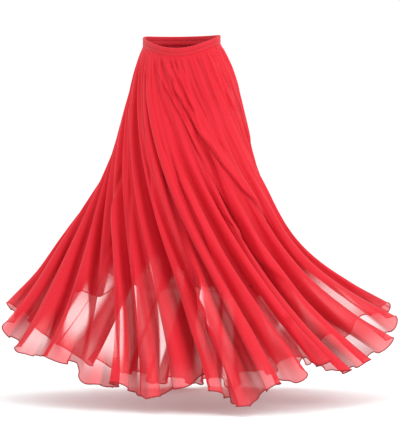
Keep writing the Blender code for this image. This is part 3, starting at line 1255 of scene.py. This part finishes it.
@dataclass
class ClothHalf:
    """One half of a layer, from side seam to side seam."""

    name: str
    node: str
    slot: str
    layer: Layer
    first: float
    last: float
    cut: FlatCut
    form: SkirtForm
    creases: CreaseField
    sheerness: Sheerness
    steps_per_fold: int
    rows: int
    row_crowding: float = 1.12
    seam_gap: float = 0.00045
    calm_by_seam: float = 0.06
    calm_by_band: float = 0.02
    # The next three set the painted shade: how far a crease trough counts, the trough that gets full shade,
    # and the share of painted shadow beside the long fold edges.
    deepest_hollow: float = 0.006
    hollow_at_full_shade: float = 0.004
    edge_shade: float = 0.9
    piece: bpy.types.Object = field(init=False)
    hem_path: Array = field(init=False)
    seam_path: Array = field(init=False)

    def edge_share(self, at: Array) -> Array:
        """Where the piece ends, as a share of the cloth's length."""
        if self.layer is Layer.OUTER:
            return np.ones_like(at)
        return self.form.hang_value("lining", at)

    def points(self) -> tuple[Array, Array, Array, Array]:
        """Works out the piece's grid.

        Returns:
            Points as rows by columns by 3, their places in folds, their shares of the length, and
            how far each lies below the draped form.
        """
        count = round((self.last - self.first) * self.steps_per_fold) + 1
        at = np.linspace(self.first, self.last, count)
        t = np.linspace(0, 1, self.rows) ** self.row_crowding
        grid_at = np.repeat(at[None, :], self.rows, axis=0)
        grid_t = t[:, None] * self.edge_share(at)[None, :]
        flat_at, flat_t = grid_at.ravel(), grid_t.ravel()
        base = self.form.cloth(flat_at, flat_t, self.layer).reshape(self.rows, count, 3)
        down = np.gradient(base, axis=0)
        around = np.gradient(base, axis=1)
        normal = np.cross(down, around)
        normal /= np.maximum(np.linalg.norm(normal, axis=2, keepdims=True), 1e-12)
        height = self.creases.height(flat_at, flat_t)
        if self.layer is Layer.OUTER:
            height = height + self.creases.flutes(flat_at, flat_t)
        ends = np.minimum(grid_at - self.first, self.last - grid_at)
        height = height.reshape(self.rows, count) * smooth_step(0.0, self.calm_by_seam, ends)
        height = height * smooth_step(0.0, self.calm_by_band, grid_t)
        points = base + height[:, :, None] * normal
        for end, inner in ((0, 1), (-1, -2)):
            way = points[:, inner] - points[:, end]
            way /= np.linalg.norm(way, axis=1)[:, None]
            points[:, end] += self.seam_gap / 2 * way
        return points, grid_at, grid_t, np.clip(-height, 0, self.deepest_hollow)

    def build(self, material: bpy.types.Material) -> bpy.types.Object:
        """Makes the piece's mesh with its flat cut as UV map, and dresses it.

        Args:
            material: its finish.

        Returns:
            The piece.
        """
        points, at, t, hollow = self.points()
        flat_at, flat_t = at.ravel(), t.ravel()
        cover = self.sheerness.cover(flat_at, flat_t)
        # Painted shade mark for the material: in fold valleys, in crease troughs and under the steep side of
        # the long fold edges.
        painted_shade = self.form.painted_shade(flat_at, flat_t)
        edge_shadow = self.edge_shade * self.creases.shade(flat_at, flat_t)
        painted_shade = np.clip(painted_shade + hollow.ravel() / self.hollow_at_full_shade + edge_shadow, 0, 1)
        marks = {"cover": cover, "folds_round": at, "down": t, "painted_shade": painted_shade}
        self.piece = grid_mesh(self.name, points, False, marks)
        across = (at - self.first) / (self.last - self.first)
        down = t / np.maximum(self.edge_share(at), 1e-6)
        add_uv(self.piece, "flat_cut", *self.cut.place(across, down))
        area = sum(face.area for face in self.piece.data.polygons)
        flat = self.cut.area
        LOG.info("%s: cloth %.3f m2, cut %.3f m2, ratio %.2f", self.name, area, flat, area / flat)
        self.piece.data.materials.append(material)
        self.hem_path = points[-1]
        self.seam_path = points[:, 0]
        return self.piece

    def declare(self) -> None:
        """Hangs the piece under the root body, hides its imported solid and logs its size.
        """
        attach(self.piece, "root")
        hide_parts(self.node)
        faces = len(self.piece.data.polygons)
        LOG.info("%s: %d faces, cut %.2f x %.2f m", self.name, faces, *self.cut.size)


@dataclass
class Waistband:
    """The elastic in its casing, ruched, with a stitched channel at half height."""

    form: SkirtForm
    thickness: float = 0.0045
    columns: int = 420
    ruches: int = 74
    fine_ruches: int = 127
    ruche_depth: float = 0.00045
    groove_depth: float = 0.0007
    stitch_out: float = 0.0001
    low_stitches_up: float = 0.0035
    joined_within: float = 0.000001

    def profile(self) -> list[tuple[float, float, float, float]]:
        """The casing's section.

        Returns:
            Height, outward place, ruching share and painted shade share (stitched channel and lower edges)
            of each point of a closed line.
        """
        h = self.form.band_height / 2
        w = self.thickness / 2
        g = self.groove_depth
        outer = [(h * 0.93, w * 0.72, 0.5, 0.0), (h * 0.72, w, 1.0, 0.0), (h * 0.38, w * 1.02, 1.0, 0.0),
                 (h * 0.14, w, 0.8, 0.2), (0.0, w - g, 0.2, 1.0), (-h * 0.14, w, 0.8, 0.2),
                 (-h * 0.38, w * 1.02, 1.0, 0.0), (-h * 0.72, w, 1.0, 0.0), (-h * 0.93, w * 0.72, 0.5, 0.1)]
        inner = [(z, -o, r, s) for z, o, r, s in reversed(outer)]
        return [(h, 0.0, 0.3, 0.0), *outer, (-h, 0.0, 0.3, 0.2), *inner]

    def build(self, material: bpy.types.Material) -> bpy.types.Object:
        """Makes the casing as one closed tube and dresses it.

        Args:
            material: its finish.

        Returns:
            The piece.
        """
        degrees = np.linspace(0, 360, self.columns, endpoint=False)
        turn = np.radians(degrees)
        wave = np.sin(self.ruches * turn + 1.2 * np.sin(5 * turn))
        wave = 0.6 * wave + 0.4 * np.sin(self.fine_ruches * turn + np.sin(3 * turn))
        rows, groove_shades = [], []
        for z, out, ruche, groove_shade in self.profile():
            point, outward = self.form.band_point(degrees, z)
            side = math.copysign(1.0, out) if out else 0.0
            lift = out + side * (self.ruche_depth * ruche * wave)
            rows.append(point + lift[:, None] * outward)
            groove_shades.append(np.full(len(degrees), groove_shade))
        rows.append(rows[0])
        groove_shades.append(groove_shades[0])
        # The painted shade shares become a mark for the casing's material.
        marks = {"groove_shade": np.array(groove_shades)[::-1]}
        piece = grid_mesh("waistband_casing", np.array(rows)[::-1], True, marks)
        seam = piece.modifiers.new("join", "WELD")
        seam.merge_threshold = self.joined_within
        graph = bpy.context.evaluated_depsgraph_get()
        joined = bpy.data.meshes.new_from_object(piece.evaluated_get(graph), depsgraph=graph)
        piece.modifiers.remove(seam)
        piece.data = joined
        joined.shade_smooth()
        joined.materials.clear()
        joined.materials.append(material)
        return piece

    def stitch_rows(self) -> dict[str, Array]:
        """The two rows of stitches, as lines round the outside of the casing."""
        face = self.thickness / 2 + self.stitch_out
        low = -self.form.band_height / 2 + self.low_stitches_up
        return {
            "channel_stitches": self.line(0.0, face - self.groove_depth),
            "casing_stitches": self.line(low, face),
        }

    def line(self, height: float, out: float) -> Array:
        """A line round the band.

        Args:
            height: its height from the ring's middle.
            out: how far outside the middle surface.

        Returns:
            The line's points.
        """
        degrees = np.linspace(0, 360, 360, endpoint=False)
        point, outward = self.form.band_point(degrees, height)
        return point + out * outward


@dataclass
class DanceSkirt:
    """The whole garment."""

    form: SkirtForm = field(default_factory=SkirtForm)
    creases: CreaseField = field(default_factory=CreaseField)
    sheerness: Sheerness = field(default_factory=Sheerness)
    side_seams: tuple[float, float, float] = (-3.5, 10.5, 24.5)
    outer_cut: FlatCut = FlatCut(0.20, 1.00, 120.0)
    lining_front_cut: FlatCut = FlatCut(0.21, 0.60, 90.0)
    lining_back_cut: FlatCut = FlatCut(0.21, 0.68, 90.0)
    hem: EdgeSewing = EdgeSewing()
    side_seam: EdgeSewing = EdgeSewing(roll_radius=0.0007, thread_radius=0.00016, pitch=0.005)
    band_row: EdgeSewing = EdgeSewing(
        thread_radius=0.00028, pitch=0.0034, stitch_length=0.0026, wrapped=False)
    thread: ThreadFinish = ThreadFinish("hem_thread", (0.46, 0.006, 0.016, 1.0))
    rolled: ThreadFinish = ThreadFinish("rolled_edge", (0.34, 0.004, 0.012, 1.0), 0.6, 1500.0)
    band_thread: ThreadFinish = ThreadFinish("band_thread", (0.62, 0.012, 0.026, 1.0))

    def halves(self, layer: Layer) -> list[ClothHalf]:
        """The front and back of one layer.

        Args:
            layer: which cloth.

        Returns:
            The two halves, not yet built.
        """
        right, left, again = self.side_seams
        outer = layer is Layer.OUTER
        cuts = (self.outer_cut, self.outer_cut) if outer else (self.lining_front_cut, self.lining_back_cut)
        cloth = "chiffon" if outer else "cloth"
        halves = []
        for side, first, last, cut in (("front", right, left, cuts[0]), ("back", left, again, cuts[1])):
            node = f"{layer.value}_{side}"
            halves.append(ClothHalf(
                name=f"{node}_{cloth}", node=node, slot="chiffon" if outer else "lining", layer=layer,
                first=first, last=last, cut=cut, form=self.form, creases=self.creases,
                sheerness=self.sheerness, steps_per_fold=46 if outer else 26, rows=132 if outer else 84,
            ))
        return halves

    def build_band(self, rolled: bpy.types.Material) -> None:
        """Builds the waistband and its two rows of stitches.

        Args:
            rolled: material of a rolled edge, which the plain stitches don't show.
        """
        thread = self.band_thread.material()
        band = Waistband(self.form)
        casing = band.build(BandFinish().material())
        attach(casing, "root")
        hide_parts("waistband")
        for name, line in band.stitch_rows().items():
            stitches = self.band_row.along(name, line, True, rolled, thread)
            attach(stitches, "root")
            LOG.info("%s: %d faces", name, len(stitches.data.polygons))

    def build_half(self, half: ClothHalf, cloth: bpy.types.Material, rolled: bpy.types.Material,
                   thread: bpy.types.Material) -> None:
        """Builds one half with its hem and side seam.

        Args:
            half: the piece.
            cloth: its finish.
            rolled: material of the rolled edges.
            thread: material of their stitches.
        """
        half.build(cloth)
        hem = self.hem.along(half.name + "_hem", half.hem_path, False, rolled, thread)
        seam = self.side_seam.along(half.name + "_side_seam", half.seam_path, False, rolled, thread)
        for piece in (hem, seam):
            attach(piece, "root")
        half.declare()

    def build(self) -> None:
        """Builds and dresses every piece, in the order of sewing."""
        thread = self.thread.material()
        rolled = self.rolled.material()
        self.build_band(rolled)
        for layer, finish in ((Layer.OUTER, SheerFinish()), (Layer.LINING, LiningFinish())):
            halves = self.halves(layer)
            cloth = finish.material(*halves[0].cut.size)
            for half in halves:
                self.build_half(half, cloth, rolled, thread)


@dataclass(frozen=True)
class SoftBox:
    """A square lamp that faces the garment."""

    name: str
    place: tuple[float, float, float]
    size: float
    watts: float


@dataclass(frozen=True)
class Studio:
    """A pale floor, soft light and a long lens at the photograph's angle."""

    image_width: int = 400
    image_height: int = 421
    metres_per_pixel: float = 0.0028
    distance: float = 6.0
    eye_height: float = -0.33
    centre_px: tuple[float, float] = (181.5, 157.0)
    floor_height: float = -1.0135
    floor_half: float = 60.0
    floor_colour: Colour = (0.985, 0.99, 0.99, 1.0)
    floor_glow: Colour = (0.02, 0.07, 0.07, 1.0)
    world_strength: float = 1.05
    lit_point: tuple[float, float, float] = (0.0, 0.0, -0.5)
    film_height_mm: float = 36.0
    soft_boxes: tuple[SoftBox, ...] = (
        SoftBox("key", (2.8, -3.0, 1.4), 2.0, 62.0),
        SoftBox("fill", (-3.0, -3.2, 0.4), 2.6, 16.0),
        SoftBox("top", (0.4, 0.4, 3.2), 2.6, 26.0),
    )

    def build_floor(self) -> None:
        """Lays a wide level floor."""
        half = self.floor_half
        rows = np.array([[(x, y, self.floor_height) for x in (-half, half)] for y in (half, -half)])
        floor = grid_mesh("studio_floor", rows, False, {})
        r = Recipe("studio_paper")
        speck = r.noise(r.place(), 30.0, 2.0)
        speck_colour = tuple(0.97 * c for c in self.floor_colour[:3]) + (1.0,)
        r.surface(
            Base_Color=r.blend(self.floor_colour, speck_colour, speck),
            Roughness=0.9,
            Specular_IOR_Level=0.1,
            Emission_Color=self.floor_glow,
            Emission_Strength=1.0,
        )
        floor.data.materials.append(r.material)

    def build_light(self) -> None:
        """Sets soft boxes and an even pale world."""
        scene = bpy.context.scene
        world = bpy.data.worlds.new("studio_world")
        world.use_nodes = True
        back = world.node_tree.nodes["Background"]
        back.inputs["Color"].default_value = (1.0, 1.0, 1.0, 1.0)
        back.inputs["Strength"].default_value = self.world_strength
        scene.world = world
        for box in self.soft_boxes:
            lamp = bpy.data.lights.new(box.name, "AREA")
            lamp.shape = "SQUARE"
            lamp.size = box.size
            lamp.energy = box.watts
            holder = bpy.data.objects.new(box.name, lamp)
            holder.location = box.place
            aim = Vector(self.lit_point) - Vector(box.place)
            holder.rotation_euler = aim.to_track_quat("-Z", "Y").to_euler()
            scene.collection.objects.link(holder)

    def build_camera(self) -> None:
        """Puts the camera at the photograph's viewing angle."""
        scene = bpy.context.scene
        lens = bpy.data.cameras.new("camera")
        lens.sensor_fit = "VERTICAL"
        lens.sensor_height = self.film_height_mm
        lens.lens = self.film_height_mm * self.distance / (self.image_height * self.metres_per_pixel)
        lens.shift_x = -(self.centre_px[0] - self.image_width / 2) / self.image_height
        lens.shift_y = (self.centre_px[1] - self.image_height / 2) / self.image_height
        lens.clip_end = 200.0
        holder = bpy.data.objects.new("camera", lens)
        holder.location = (0.0, -self.distance, self.eye_height)
        holder.rotation_euler = (math.pi / 2, 0.0, 0.0)
        scene.collection.objects.link(holder)
        scene.camera = holder
        scene.view_settings.view_transform = "Standard"


def main() -> None:
    """Builds the garment and its studio."""
    logging.basicConfig(level=logging.INFO, format="%(name)s %(message)s")
    DanceSkirt().build()
    studio = Studio()
    studio.build_floor()
    studio.build_light()
    studio.build_camera()


if __name__ == "__main__":
    main()
